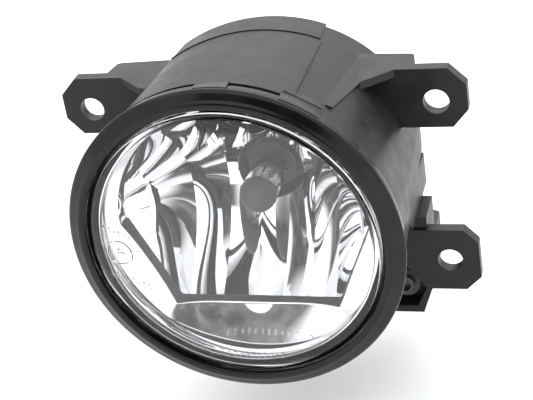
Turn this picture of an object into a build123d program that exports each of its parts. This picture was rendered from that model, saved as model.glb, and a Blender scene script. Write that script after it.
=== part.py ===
from build123d import *
import math
import os

# Round fog light. Millimetres, +Z up, +X to the right as seen from the front, -Y towards the road.
# The parts are drawn about the lens axis (X = 0, Z = 0), with Y = 0 at the front ring's outer edge.
# save() then moves them so that the origin is midway between the two upper ear holes, on the ears' front.

# Driving dimensions: ears and holes
HOLE_X = 55.56
UPPER_HOLE_Z = 23.7
LOWER_HOLE_Z = -32.85
HOLE_R = 4.0
EAR_FRONT_Y = 43.4
EAR_THICKNESS = 3.9
EAR_REAR_Y = EAR_FRONT_Y + EAR_THICKNESS

# Drum housing
DRUM_FRONT_R = 49.3
DRUM_FRONT_Y = 2.0
DRUM_DRAFT = 0.0551
WALL = 2.2
REAR_Y = 58.5
REAR_SLOPE = 0.17
REAR_WALL = 2.4
BEYOND_REAR_Y = 80.0
FLANGE_FRONT_Y = 4.0
FLANGE_REAR_Y = 6.0
FLANGE_INNER_R = 41.6
PANEL_RISE = 0.9
PANEL_START = 63.0
PANEL_END = 121.0
RIDGE_INSET = 12.1
COLLAR_R = 24.6
COLLAR_BORE_R = 22.0
COLLAR_END_Y = 64.6
FACET_X = 46.0

# Front ring and lens
RING_R = 51.0
RING_INNER_R = 45.1
RING_LIP_Y = -2.7
RING_BACK_Y = 2.0
LENS_R = 43.8
LENS_SKIRT_R = 41.0
LENS_EDGE_Y = -2.0
LENS_CROWN = 4.2
LENS_THICKNESS = 3.0
LENS_FOOT_Y = 3.2

# Clips that hold the front ring on the drum
CLIP_ANGLES = (60.0, 150.0, 240.0, 330.0)
CLIP_HALF_ANGLE = 6.9
CLIP_INNER_R = 50.05
CLIP_OUTER_R = 50.8
CLIP_REAR_Y = 5.4
CLIP_GAP = 0.2
RIM_EDGE_R = 50.0
RIM_FRONT_Y = 3.6
RIM_REAR_Y = 4.3
KEY_START = 83.8
KEY_END = 94.8

# Reflector: a paraboloid about the lens axis
FOCUS_Y = 42.5
FOCAL_LENGTH = 10.5
VERTEX_Y = FOCUS_Y + FOCAL_LENGTH
SHELL_SHIFT = 3.4
RIM_R = 43.2
RIM_FLANGE_R = 44.8
NECK_BORE_R = 11.0
NECK_R = 15.0
NECK_END_Y = 66.6

# Reflector pivot
PIVOT_Y = 30.0
PIN_R = 2.5
PIN_CLEARANCE = 0.05
BUSH_R = 4.0
BUSH_INNER_X = 39.9
BUSH_OUTER_X = 42.9

# Aiming screw, sliding nut and the fork that its ball works in
SCREW_X = 39.5
SCREW_Z = -43.5
SCREW_R = 2.5
JOURNAL_R = 3.5
PARTITION_FRONT_Y = 48.6
PARTITION_REAR_Y = 51.0
BOX_REAR_Y = 68.9
BALL_X = 26.9
BALL_Z = -26.9
BALL_Y = 54.2
BALL_R = 2.0
BALL_GAP = 0.3

SEAL_FRONT_Y = 49.0
SEAL_REAR_Y = 50.8
SEAL_INNER_R = 2.6
CLIP_RING_Y = 52.1

# Breather on the rear wall
VENT_X = -24.0
VENT_Z = 27.0
VENT_R = 3.2
VENT_BORE_R = 1.7
VENT_END_Y = 62.0

# Bulb
GLASS_R = 5.8
GLASS_WALL = 0.8
GLASS_TIP_Y = 25.5
BULB_FLANGE_Y = 67.2
PLUG_R = 10.6
LUG_COUNT = 3
LUG_R = 12.4
LUG_FRONT_Y = 63.6
LUG_REAR_Y = 65.4
UNLOCK_ANGLE = 40.0
PINCH_END_Y = 55.0
COLLAR_CUP_Y = 51.0
PLUG_FRONT_Y = 58.4
SHROUD_Y = (70.6, 84.5)
SHROUD_X = (-10.5, 10.5)
SHROUD_WALL = 1.6
SHROUD_END_Z = -33.0
SOCKET_FLOOR_Z = -18.0


def lathe(points):
    """Turn an outline of (radius, y) points about the lens axis."""
    outline = make_face(Polyline(*points, close=True))
    return revolve(outline, Axis.Y)


def sector(points, start, end):
    """Turn an outline of (radius, y) points from one angle to another, from +X towards +Z."""
    outline = make_face(Polyline(*points, close=True))
    return Rot(0, -end, 0) * revolve(outline, Axis.Y, end - start)


def prism_y(points, front, rear):
    """Extrude an outline of (x, z) points along Y."""
    outline = make_face(Polyline(*points, close=True))
    return extrude(Plane.XZ.offset(-front) * outline, amount=-(rear - front))


def prism_z(points, bottom, top):
    """Extrude an outline of (x, y) points along Z."""
    outline = make_face(Polyline(*points, close=True))
    return extrude(Plane.XY.offset(bottom) * outline, amount=top - bottom)


def prism_x(points, left, right):
    """Extrude an outline of (y, z) points along X."""
    outline = make_face(Polyline(*points, close=True))
    return extrude(Plane.YZ.offset(left) * outline, amount=right - left)


def block(x, y, z):
    """Make a box from three (low, high) pairs."""
    size = [high - low for low, high in (x, y, z)]
    middle = [(high + low) / 2 for low, high in (x, y, z)]
    return Pos(*middle) * Box(*size)


def rod_y(radius, front, rear, x=0.0, z=0.0):
    """Make a cylinder along Y."""
    return Pos(x, (front + rear) / 2, z) * Rot(90, 0, 0) * Cylinder(radius, rear - front)


def rod_x(radius, left, right, y=0.0, z=0.0):
    """Make a cylinder along X."""
    return Pos((left + right) / 2, y, z) * Rot(0, 90, 0) * Cylinder(radius, right - left)


def mirror_x(shape):
    """Mirror a shape to the other side of the lamp."""
    return mirror(shape, about=Plane.YZ)


def save(name, shape):
    """Move a part to the ear-hole origin and write it."""
    placed = Pos(0, -EAR_FRONT_Y, -UPPER_HOLE_Z) * shape
    export_step(placed, os.path.join("parts", name + ".step"))


def drum_radius(y):
    """Give the drum's outer radius, which tapers towards the rear."""
    return DRUM_FRONT_R - (y - DRUM_FRONT_Y) * DRUM_DRAFT


def rear_plane(inset):
    """Give the slanted plane that ends the drum, moved forwards by inset."""
    return Plane(origin=(0, REAR_Y - inset, 0), z_dir=(-REAR_SLOPE, 1, 0))


def ahead_of(shape, plane):
    """Keep what lies in front of the slanted plane."""
    return split(shape, bisect_by=plane, keep=Keep.BOTTOM)


def drum_band(front, rear, rise, depth=1.0):
    """Give the outline of a raised band that follows the drum's taper."""
    return [
        (drum_radius(front) - depth, front),
        (drum_radius(front) + rise, front),
        (drum_radius(rear) + rise, rear),
        (drum_radius(rear) - depth, rear),
    ]


def drum():
    """Make the drum's outside with the raised top panel and its ridges."""
    body = lathe([
        (0, DRUM_FRONT_Y),
        (DRUM_FRONT_R, DRUM_FRONT_Y),
        (drum_radius(BEYOND_REAR_Y), BEYOND_REAR_Y),
        (0, BEYOND_REAR_Y),
    ])
    panel_front = CLIP_REAR_Y + CLIP_GAP
    ridge_rise = PANEL_RISE + 0.3
    ridge_width = 0.5
    ridge_angle = 0.6
    rear_corner = PANEL_START + 1.2
    panel = sector(drum_band(panel_front, BEYOND_REAR_Y, PANEL_RISE), rear_corner, PANEL_END)
    side_band = drum_band(panel_front, BEYOND_REAR_Y, ridge_rise, 1.4)
    edge_band = drum_band(panel_front, BEYOND_REAR_Y, PANEL_RISE, 1.7)
    ridge_band = drum_band(panel_front, BEYOND_REAR_Y, ridge_rise, 2.0)
    side = sector(side_band, PANEL_START, PANEL_START + ridge_angle)
    edge = sector(edge_band, PANEL_START + 0.1, rear_corner + 0.1)
    ridge = sector(ridge_band, PANEL_START + 0.2, PANEL_END - 0.1)
    body += panel
    body += ahead_of(edge, rear_plane(RIDGE_INSET + ridge_width / 2))
    body += ahead_of(side, rear_plane(RIDGE_INSET + ridge_width / 3))
    body += ahead_of(ridge, rear_plane(RIDGE_INSET)) - ahead_of(ridge, rear_plane(RIDGE_INSET + ridge_width))
    return body


def front_rim():
    """Make the narrow rim that runs round the drum behind the front ring."""
    bevel = 0.2
    return lathe([
        (DRUM_FRONT_R - 1.0, RIM_FRONT_Y),
        (RIM_EDGE_R - bevel, RIM_FRONT_Y),
        (RIM_EDGE_R, RIM_FRONT_Y + bevel),
        (RIM_EDGE_R, RIM_REAR_Y - bevel),
        (RIM_EDGE_R - bevel, RIM_REAR_Y),
        (DRUM_FRONT_R - 1.0, RIM_REAR_Y),
    ])


def side_strip():
    """Make the flat-topped strip that widens from the right clip back to the web."""
    strip_angle = 48.0
    rear_fall = 0.087
    side_fall = 0.314
    root_r = 44.0
    above_r = 53.0
    plan = Polyline((12.5, 6.5), (12.5, 1.8), (35.4, -2.9), (56.0, -2.9), (56.0, 2.0), close=True)
    bar = extrude(Plane.YZ.offset(root_r) * make_face(plan), amount=above_r - root_r)
    top = Plane(origin=(48.4, 13.5, 5.0), z_dir=(1, rear_fall, side_fall))
    return Rot(0, -strip_angle, 0) * ahead_of(bar, top)


def clip_rib():
    """Make the small upright rib beside the right clip."""
    rib_angle = 53.3
    rib = drum_band(CLIP_REAR_Y + CLIP_GAP, 11.5, 0.7)
    return sector(rib, rib_angle - 0.5, rib_angle + 0.5)


def clip_mound(angle):
    """Make the rounded lug that one of the front ring's clips hooks in front of."""
    half_width = 5.9
    length = 6.2
    front = CLIP_REAR_Y + CLIP_GAP
    base_r = 47.5
    plan = Plane.YZ.offset(base_r) * Pos(front, 0) * Ellipse(length, half_width)
    mound = extrude(plan, amount=6.0)
    slope = prism_z([
        (base_r, front),
        (CLIP_OUTER_R - 0.6, front),
        (CLIP_OUTER_R - 0.1, front + 0.6),
        (drum_radius(front + length), front + length),
        (base_r, front + length),
    ], -half_width, half_width)
    return Rot(0, -angle, 0) * (mound & slope)


def facet_fill():
    """Make the flat-faced boss low on the right side of the drum."""
    return prism_x([(30.6, -11.4), (28.0, -6.0), (70.0, -6.0), (70.0, -17.0), (36.0, -17.0)], 38.0, FACET_X)


def facet_cut():
    """Give the space that the flat side facet takes away from the drum."""
    return prism_x([(21.8, 2.8), (75.0, 8.2), (75.0, -17.0), (36.0, -17.0), (30.6, -11.4)], FACET_X, 60.0)


def upper_ear():
    """Make the right upper ear with its web; the left one is its mirror image."""
    ear = prism_y([
        (36.0, 34.6), (59.6, 34.6), (65.0, 29.1), (65.1, 20.8), (60.2, 15.1), (40.0, 15.1),
    ], EAR_FRONT_Y, EAR_REAR_Y)
    web_top = 34.6
    web_thickness = 2.5
    web = prism_z([
        (28.0, 34.0), (34.9, 35.6), (43.7, EAR_FRONT_Y), (43.7, 44.0), (49.9, 44.0), (49.7, 46.0),
        (48.6, 53.0), (48.2, 54.1), (47.2, 54.7), (28.0, 56.0),
    ], web_top - web_thickness, web_top)
    gusset = prism_x([(EAR_FRONT_Y + 1.0, 15.1), (55.0, 15.1), (55.0, 17.1), (EAR_FRONT_Y + 1.0, 17.1)],
                     40.0, 48.4)
    return ear + web + gusset


def ear_relief():
    """Give the shallow groove that keeps the upper ears' faces clear of the drum's taper."""
    relief_depth = 0.2
    groove = lathe([
        (drum_radius(EAR_FRONT_Y) + 0.03, EAR_FRONT_Y - 1.0),
        (48.2, EAR_FRONT_Y - 1.0),
        (48.2, EAR_FRONT_Y + relief_depth),
        (drum_radius(EAR_FRONT_Y) + 0.03, EAR_FRONT_Y + relief_depth),
    ])
    beside_drum = block((-60.0, 60.0), (EAR_FRONT_Y, EAR_FRONT_Y + relief_depth), (15.0, 32.1))
    return groove & beside_drum


def lower_ear():
    """Make the lower right ear with the upright web behind it."""
    ear = prism_y([
        (40.0, -21.7), (60.4, -21.7), (64.9, -26.5), (65.1, -39.2), (60.2, -43.95), (47.2, -43.95),
        (40.0, -34.0),
    ], EAR_FRONT_Y, EAR_REAR_Y)
    web = block((41.0, 48.9), (EAR_FRONT_Y + 1.0, 58.0), (-34.0, -17.5))
    return ear + web


def box_walls():
    """Make the adjuster box: open pocket in front, closed chamber behind."""
    return prism_y([
        (27.6, -32.0), (27.6, -53.3), (45.4, -53.3), (48.9, -43.95), (48.9, -30.0), (38.0, -26.0),
    ], EAR_FRONT_Y, BOX_REAR_Y)


def box_space():
    """Give the hollow of the adjuster box in front of and behind its partition."""
    outline = [
        (29.8, -28.0), (29.8, -50.8), (43.6, -50.8), (46.9, -43.95), (46.9, -33.8), (43.0, -30.0),
        (38.0, -28.0),
    ]
    pocket = prism_y(outline, EAR_FRONT_Y - 1.0, PARTITION_FRONT_Y)
    chamber = prism_y(outline, PARTITION_REAR_Y, BOX_REAR_Y - REAR_WALL)
    return pocket + chamber


def nut_guides():
    """Make the three ribs that keep the sliding nut from turning."""
    front = CLIP_RING_Y + 1.2
    rear = BOX_REAR_Y - REAR_WALL + 0.5
    return (
        block((36.5, 42.5), (front, rear), (-51.5, -48.3))
        + block((44.3, 47.6), (front, rear), (-46.0, -42.0))
        + block((29.0, 34.7), (front, rear), (-46.0, -42.0))
    )


def arm_window():
    """Give the window in the drum's wall that the nut's ball arm passes through."""
    reach = 12.0
    width = 6.4
    length = 9.5
    along_arm = 0.42
    run = SCREW_X - BALL_X
    drop = SCREW_Z - BALL_Z
    lean = math.degrees(math.atan2(drop, run))
    middle = (BALL_X + run * along_arm, PARTITION_REAR_Y + length / 2, BALL_Z + drop * along_arm)
    return Pos(*middle) * Rot(0, -lean, 0) * Box(reach, length, width)


def housing():
    """Make the drum housing with its ears, adjuster box and rear opening."""
    body = ahead_of(drum(), rear_plane(0.0)) + front_rim()
    body += side_strip() + clip_rib()
    for angle in CLIP_ANGLES:
        body += clip_mound(angle)
    body += ahead_of(facet_fill(), rear_plane(0.0))
    body -= facet_cut()
    body += upper_ear()
    body += mirror_x(upper_ear())
    body -= ear_relief()
    body += lower_ear()
    hollow_box = box_walls() - box_space()
    body += hollow_box - rod_y(drum_radius(EAR_FRONT_Y) - 1.0, DRUM_FRONT_Y, BEYOND_REAR_Y)
    body += rod_y(COLLAR_R, 50.0, COLLAR_END_Y)
    body += rod_y(VENT_R, 50.0, VENT_END_Y, VENT_X, VENT_Z)
    body -= cavity()
    body += pivot_bosses()
    body += nut_guides() + screw_boss()
    body -= openings()
    return body


def cavity():
    """Give the sealed space inside the drum, with flat walls behind the side facet."""
    inside = lathe([
        (0, FLANGE_REAR_Y),
        (drum_radius(FLANGE_REAR_Y) - WALL, FLANGE_REAR_Y),
        (drum_radius(BEYOND_REAR_Y) - WALL, BEYOND_REAR_Y),
        (0, BEYOND_REAR_Y),
    ])
    inside = ahead_of(inside, rear_plane(REAR_WALL))
    inside -= block((FACET_X - WALL, 60.0), (19.5, BEYOND_REAR_Y), (-19.3, 10.5))
    front_recess = rod_y(DRUM_FRONT_R - WALL, 0.0, FLANGE_FRONT_Y)
    flange_hole = rod_y(FLANGE_INNER_R, 0.0, FLANGE_REAR_Y + 1.0)
    return inside + front_recess + flange_hole


def pivot_bosses():
    """Make the two bosses that hold the pivot bushes."""
    boss_r = 6.5
    right = rod_x(boss_r, BUSH_INNER_X, FACET_X - WALL + 0.3, PIVOT_Y)
    left = rod_x(boss_r, -(drum_radius(PIVOT_Y) - WALL + 0.8), -BUSH_INNER_X, PIVOT_Y)
    return right + left


def screw_boss():
    """Make the boss on the box's partition that the aiming screw turns in."""
    return rod_y(5.2, PARTITION_FRONT_Y - 0.8, PARTITION_REAR_Y + 0.8, SCREW_X, SCREW_Z)


def openings():
    """Give every hole in the housing: ears, bushes, screw, rear opening, vent and arm window."""
    holes = arm_window()
    for x, z in ((HOLE_X, UPPER_HOLE_Z), (-HOLE_X, UPPER_HOLE_Z), (HOLE_X, LOWER_HOLE_Z)):
        holes += rod_y(HOLE_R, EAR_FRONT_Y - 1.0, EAR_REAR_Y + 1.0, x, z)
    for side in (1, -1):
        inner, outer = sorted((side * (BUSH_INNER_X - 1.0), side * BUSH_OUTER_X))
        holes += rod_x(BUSH_R, inner, outer, PIVOT_Y)
    journal_r = JOURNAL_R + PIN_CLEARANCE
    holes += rod_y(journal_r, PARTITION_FRONT_Y - 2.0, PARTITION_REAR_Y + 2.0, SCREW_X, SCREW_Z)
    holes += rod_y(COLLAR_BORE_R, 50.0, COLLAR_END_Y + 1.0)
    holes += rod_y(VENT_BORE_R, 50.0, VENT_END_Y + 1.0, VENT_X, VENT_Z)
    return holes


def bezel():
    """Make the gloss front ring with its four clips and the locating key at the top."""
    ring = lathe([
        (RING_INNER_R, RING_LIP_Y + 0.4),
        (RING_INNER_R + 0.3, RING_LIP_Y),
        (46.6, RING_LIP_Y - 0.05),
        (48.3, -2.1),
        (50.2, -0.9),
        (RING_R - 0.2, -0.4),
        (RING_R, 0.0),
        (RING_R, RING_BACK_Y - 0.3),
        (RING_R - 0.3, RING_BACK_Y),
        (RING_INNER_R, RING_BACK_Y),
    ])
    tongue_rear = RIM_FRONT_Y - CLIP_GAP
    hook_front = RIM_REAR_Y + CLIP_GAP
    hook_r = 49.2
    ring += lathe([(49.4, 1.5), (50.4, 1.5), (50.4, tongue_rear), (49.4, tongue_rear)])
    clip = [
        (CLIP_INNER_R, 1.0), (CLIP_OUTER_R, 1.0), (CLIP_OUTER_R, CLIP_REAR_Y), (hook_r, CLIP_REAR_Y),
        (hook_r, hook_front), (CLIP_INNER_R, hook_front),
    ]
    for angle in CLIP_ANGLES:
        start = angle - CLIP_HALF_ANGLE
        end = angle + CLIP_HALF_ANGLE
        ring += sector(clip, start, end)
    key_rear = 5.6
    key = [(CLIP_INNER_R, 1.0), (CLIP_OUTER_R, 1.0), (CLIP_OUTER_R, key_rear), (CLIP_INNER_R, key_rear)]
    return ring + sector(key, KEY_START, KEY_END)


def dome(edge_r, edge_y, crown):
    """Give the arc of a shallow dome from its top to its edge."""
    radius = (edge_r ** 2 + crown ** 2) / (2 * crown)
    half_r = edge_r / 2
    half_y = edge_y - crown + radius - math.sqrt(radius ** 2 - half_r ** 2)
    return ThreePointArc((0, edge_y - crown), (half_r, half_y), (edge_r, edge_y))


def lens():
    """Make the pressed glass lens: a shallow dome with a deep skirt."""
    bevel = 0.5
    inner_edge_y = LENS_EDGE_Y + LENS_THICKNESS + 0.4
    inner_crown = LENS_CROWN + 0.4
    outside = dome(LENS_R - bevel, LENS_EDGE_Y, LENS_CROWN)
    skirt = Polyline(
        (LENS_R - bevel, LENS_EDGE_Y),
        (LENS_R, LENS_EDGE_Y + bevel),
        (LENS_R, LENS_FOOT_Y),
        (LENS_SKIRT_R, LENS_FOOT_Y),
        (LENS_SKIRT_R, inner_edge_y),
    )
    inside = dome(LENS_SKIRT_R, inner_edge_y, inner_crown)
    axis = Line((0, LENS_EDGE_Y - LENS_CROWN), (0, inner_edge_y - inner_crown))
    return revolve(make_face([outside, skirt, inside, axis]), Axis.Y)


def lens_seal():
    """Make the bead of sealant between the lens skirt and the housing's flange."""
    return lathe([
        (FLANGE_INNER_R, LENS_FOOT_Y),
        (LENS_R + 0.6, LENS_FOOT_Y),
        (LENS_R + 0.6, FLANGE_FRONT_Y),
        (FLANGE_INNER_R, FLANGE_FRONT_Y),
    ])


def parabola_y(radius, shift=0.0):
    """Give the paraboloid's y at a radius; shift moves its vertex back."""
    return VERTEX_Y + shift - radius ** 2 / (4 * FOCAL_LENGTH)


def parabola(start_r, end_r, shift=0.0):
    """Give the paraboloid's outline between two radii, which a quadratic Bezier curve matches exactly."""
    corner_y = VERTEX_Y + shift - start_r * end_r / (4 * FOCAL_LENGTH)
    return Bezier(
        (start_r, parabola_y(start_r, shift)),
        ((start_r + end_r) / 2, corner_y),
        (end_r, parabola_y(end_r, shift)),
    )


def reflector():
    """Make the reflector bowl with its neck, pivot bosses and fork."""
    rim_y = parabola_y(RIM_R)
    rim_back_y = rim_y + 2.0
    outer_r = math.sqrt(4 * FOCAL_LENGTH * (VERTEX_Y + SHELL_SHIFT - rim_back_y))
    inside = parabola(NECK_BORE_R, RIM_R)
    rim = Polyline((RIM_R, rim_y), (RIM_FLANGE_R, rim_y), (RIM_FLANGE_R, rim_back_y), (outer_r, rim_back_y))
    outside = parabola(outer_r, NECK_R, SHELL_SHIFT)
    neck = Polyline(
        (NECK_R, parabola_y(NECK_R, SHELL_SHIFT)),
        (NECK_R, NECK_END_Y),
        (NECK_BORE_R, NECK_END_Y),
        (NECK_BORE_R, parabola_y(NECK_BORE_R)),
    )
    body = revolve(make_face([inside, rim, outside, neck]), Axis.Y)
    body += reflector_boss() + mirror_x(reflector_boss()) + fork()
    body -= lug_groove()
    for side in (1, -1):
        left, right = sorted((side * 35.4, side * BUSH_INNER_X))
        body -= rod_x(PIN_R, left, right, PIVOT_Y)
    return body


def reflector_boss():
    """Make the right pivot boss, cut off along the inside of the bowl."""
    boss = rod_x(5.5, 28.0, BUSH_INNER_X - 0.5, PIVOT_Y)
    shift = SHELL_SHIFT - 1.0
    near_axis = 1.0
    back_to_start = Polyline(
        (RIM_R, parabola_y(RIM_R, shift)),
        (near_axis, 0.0),
        (near_axis, parabola_y(near_axis, shift)),
    )
    inside = revolve(make_face([parabola(near_axis, RIM_R, shift), back_to_start]), Axis.Y)
    return boss - inside


def fork():
    """Make the forked arm that the nut's ball works in, at 45 degrees below the right side."""
    tine = 1.6
    inner_gap = BALL_R + BALL_GAP
    front = BALL_Y - inner_gap - tine
    rear = BALL_Y + inner_gap + tine
    reach = (34.4, 41.5)
    width = (-4.0, 4.0)
    arm = block(reach, (front, front + tine), width)
    arm += block(reach, (rear - tine, rear), width)
    arm += block((31.0, 34.4), (front, rear), width)
    arm += block((NECK_R - 1.5, 31.5), (front, front + 4.4), (-3.0, 3.0))
    return Rot(0, 45, 0) * arm


def lug_groove():
    """Give the bayonet groove in the neck and the three slots that the bulb's lugs enter by."""
    groove_r = LUG_R + 0.4
    slot_r = LUG_R + 0.25
    slot_half = 11.0
    groove_front = LUG_FRONT_Y - 0.4
    groove_rear = LUG_REAR_Y + 0.4
    inner_r = NECK_BORE_R - 1.0
    slot_front = groove_rear - 0.5
    slot_rear = NECK_END_Y + 1.0
    groove = lathe([
        (inner_r, groove_front), (groove_r, groove_front), (groove_r, groove_rear), (inner_r, groove_rear),
    ])
    slot = [(inner_r, slot_front), (slot_r, slot_front), (slot_r, slot_rear), (inner_r, slot_rear)]
    for angle in lug_angles():
        slot_middle = angle - UNLOCK_ANGLE
        groove += sector(slot, slot_middle - slot_half, slot_middle + slot_half)
    return groove


def lug_angles():
    """Give the directions of the bulb's three lugs."""
    return [90.0 + i * 360.0 / LUG_COUNT for i in range(LUG_COUNT)]


def pivot_pins():
    """Make the two pins that the reflector tilts on."""
    pin = rod_x(PIN_R, 35.4, BUSH_OUTER_X - 0.3, PIVOT_Y)
    return [pin, mirror_x(pin)]


def pivot_bushes():
    """Make the two plain bushes in the housing's bosses."""
    bush = rod_x(BUSH_R, BUSH_INNER_X, BUSH_OUTER_X, PIVOT_Y)
    bush -= rod_x(PIN_R + PIN_CLEARANCE, BUSH_INNER_X - 1.0, BUSH_OUTER_X + 1.0, PIVOT_Y)
    return [bush, mirror_x(bush)]


def adjuster_screw():
    """Make the aiming screw: hexagon socket head, flange, sealed journal and threaded shank."""
    at_screw = Pos(SCREW_X, 0, SCREW_Z)
    turned = lathe([
        (0, 43.9), (3.0, 43.9), (3.4, 44.3), (3.4, 46.0), (5.0, 46.0), (5.0, 47.5), (JOURNAL_R, 47.5),
        (JOURNAL_R, SEAL_FRONT_Y), (SEAL_INNER_R, SEAL_FRONT_Y), (SEAL_INNER_R, SEAL_REAR_Y),
        (JOURNAL_R, SEAL_REAR_Y), (JOURNAL_R, CLIP_RING_Y), (SCREW_R, CLIP_RING_Y), (SCREW_R, 63.4),
        (SCREW_R - 0.6, 64.0), (0, 64.0),
    ])
    socket_depth = 1.9
    socket = extrude(Plane.XZ.offset(-43.0) * RegularPolygon(2.3, 6), amount=-(0.9 + socket_depth))
    return at_screw * (turned - socket)


def adjuster_seal():
    """Make the sealing ring in the screw's groove."""
    middle = (SEAL_FRONT_Y + SEAL_REAR_Y) / 2
    ring = lathe([
        (SEAL_INNER_R, middle - 0.8), (JOURNAL_R - 0.3, middle - 0.8), (JOURNAL_R, middle - 0.4),
        (JOURNAL_R, middle + 0.4), (JOURNAL_R - 0.3, middle + 0.8), (SEAL_INNER_R, middle + 0.8),
    ])
    return Pos(SCREW_X, 0, SCREW_Z) * ring


def adjuster_clip():
    """Make the push-on ring that keeps the screw in the partition."""
    outer_r = 5.2
    rear = CLIP_RING_Y + 0.8
    ring = lathe([(SCREW_R, CLIP_RING_Y), (outer_r, CLIP_RING_Y), (outer_r, rear), (SCREW_R, rear)])
    return Pos(SCREW_X, 0, SCREW_Z) * ring


def adjuster_nut():
    """Make the sliding nut: a square block, an arm that points at the lens axis and its ball."""
    half = 4.5
    front = 55.4
    rear = 61.4
    post_distance = 8.0
    arm_length = math.hypot(BALL_X - SCREW_X, BALL_Z - SCREW_Z)
    angle = math.degrees(math.atan2(BALL_Z - SCREW_Z, BALL_X - SCREW_X))
    arm = block((0.0, post_distance + 2.0), (front + 1.0, rear - 1.0), (-2.0, 2.0))
    arm += block((post_distance - 1.7, post_distance + 2.0), (BALL_Y - 1.5, rear - 1.0), (-2.0, 2.0))
    arm += rod_x(1.2, post_distance, arm_length, BALL_Y)
    arm += Pos(arm_length, BALL_Y, 0) * Sphere(BALL_R)
    body = block((-half, half), (front, rear), (-half, half)) + Rot(0, -angle, 0) * arm
    body -= rod_y(SCREW_R + 0.1, front - 1.0, rear + 1.0)
    return Pos(SCREW_X, 0, SCREW_Z) * body


def bulb_glass():
    """Make the glass capsule: a round-tipped tube that ends in a flat pinch."""
    centre_y = GLASS_TIP_Y + GLASS_R
    end_y = 47.0
    inner_r = GLASS_R - GLASS_WALL
    capsule = rod_y(GLASS_R, centre_y, end_y) + Pos(0, centre_y, 0) * Sphere(GLASS_R)
    hollow = rod_y(inner_r, centre_y, end_y - 1.0) + Pos(0, centre_y, 0) * Sphere(inner_r)
    pinch = block((-5.0, 5.0), (end_y - 0.5, PINCH_END_Y), (-1.7, 1.7))
    return capsule + pinch - hollow


def bulb_tip_cap():
    """Make the opaque coating over the capsule's tip."""
    centre_y = GLASS_TIP_Y + GLASS_R
    skirt = 1.0
    outer_r = GLASS_R + 0.2
    shell = rod_y(outer_r, centre_y, centre_y + skirt) + Pos(0, centre_y, 0) * Sphere(outer_r)
    inner = rod_y(GLASS_R, centre_y, centre_y + 2 * outer_r) + Pos(0, centre_y, 0) * Sphere(GLASS_R)
    behind = rod_y(2 * outer_r, centre_y + skirt, centre_y + 2 * outer_r)
    return shell - inner - behind


def bulb_filament():
    """Make the filament's outer shape at the paraboloid's focus."""
    return rod_y(0.75, FOCUS_Y - 2.4, FOCUS_Y + 2.4) - rod_y(0.35, FOCUS_Y - 3.0, FOCUS_Y + 3.0)


def filament_leads():
    """Make the two lead wires that hold the filament."""
    wire_r = 0.35
    end_y = 46.0
    front_y = FOCUS_Y - 2.4 - wire_r
    rear_y = FOCUS_Y + 2.4 + wire_r
    long_lead = rod_y(wire_r, front_y, end_y, 2.8) + rod_x(wire_r, -0.6, 2.8, front_y)
    short_lead = rod_y(wire_r, rear_y, end_y, -2.4) + rod_x(wire_r, -2.4, 0.6, rear_y)
    return [long_lead, short_lead]


def bulb_collar():
    """Make the metal cup that clamps the capsule's pinch."""
    cup = rod_y(8.2, COLLAR_CUP_Y, PLUG_FRONT_Y) - rod_y(7.6, COLLAR_CUP_Y + 0.6, PLUG_FRONT_Y + 1.0)
    return cup - block((-5.0, 5.0), (COLLAR_CUP_Y - 1.0, COLLAR_CUP_Y + 1.0), (-1.7, 1.7))


def bulb_base():
    """Make the bulb's plastic base: plug with lugs, flange, elbow and plug shroud."""
    plug = lathe([
        (0, PINCH_END_Y), (7.6, PINCH_END_Y), (7.6, PLUG_FRONT_Y), (PLUG_R, PLUG_FRONT_Y), (PLUG_R, 60.0),
        (9.2, 60.0), (9.2, 62.2), (PLUG_R, 62.2), (PLUG_R, BULB_FLANGE_Y), (17.2, BULB_FLANGE_Y),
        (17.5, BULB_FLANGE_Y + 0.3), (17.5, 69.3), (17.2, 69.6), (0, 69.6),
    ])
    root_r = PLUG_R - 1.0
    lug = [(root_r, LUG_FRONT_Y), (LUG_R, LUG_FRONT_Y), (LUG_R, LUG_REAR_Y), (root_r, LUG_REAR_Y)]
    for angle in lug_angles():
        plug += sector(lug, angle - 9.0, angle + 9.0)
    left, right = SHROUD_X
    front, rear = SHROUD_Y
    elbow = prism_x([
        (69.0, 12.0), (81.0, 12.0), (rear, 8.0), (rear, -18.0), (front, -18.0), (front, -8.0), (69.0, -8.0),
    ], left, right)
    elbow = fillet(elbow.edges().filter_by(Axis.Y), 2.0)
    shroud = block(SHROUD_X, SHROUD_Y, (SHROUD_END_Z, -17.0))
    shroud = fillet(shroud.edges().filter_by(Axis.Z), 1.6)
    socket = block(
        (left + SHROUD_WALL, right - SHROUD_WALL),
        (front + SHROUD_WALL, rear - SHROUD_WALL),
        (SHROUD_END_Z - 1.0, SOCKET_FLOOR_Z),
    )
    catch = prism_x([(rear - 0.5, -26.0), (rear + 1.4, -26.0), (rear - 0.5, -31.0)], -3.0, 3.0)
    rib = block((right - 2.0, right + 0.4), (73.0, 74.6), (-31.0, 6.0))
    return plug + elbow + shroud + catch + rib + mirror_x(rib) - socket


def bulb_terminals():
    """Make the two blade contacts in the plug shroud."""
    middle_y = sum(SHROUD_Y) / 2
    blade = block((3.0, 5.8), (middle_y - 0.4, middle_y + 0.4), (SOCKET_FLOOR_Z - 8.0, SOCKET_FLOOR_Z))
    return [blade, mirror_x(blade)]


def bulb_seal():
    """Make the sealing ring round the bulb's plug."""
    outer_r = NECK_BORE_R - 0.03
    return lathe([
        (9.2, 60.2), (outer_r - 0.4, 60.2), (outer_r, 60.7), (outer_r, 61.5), (outer_r - 0.4, 62.0),
        (9.2, 62.0),
    ])


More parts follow.
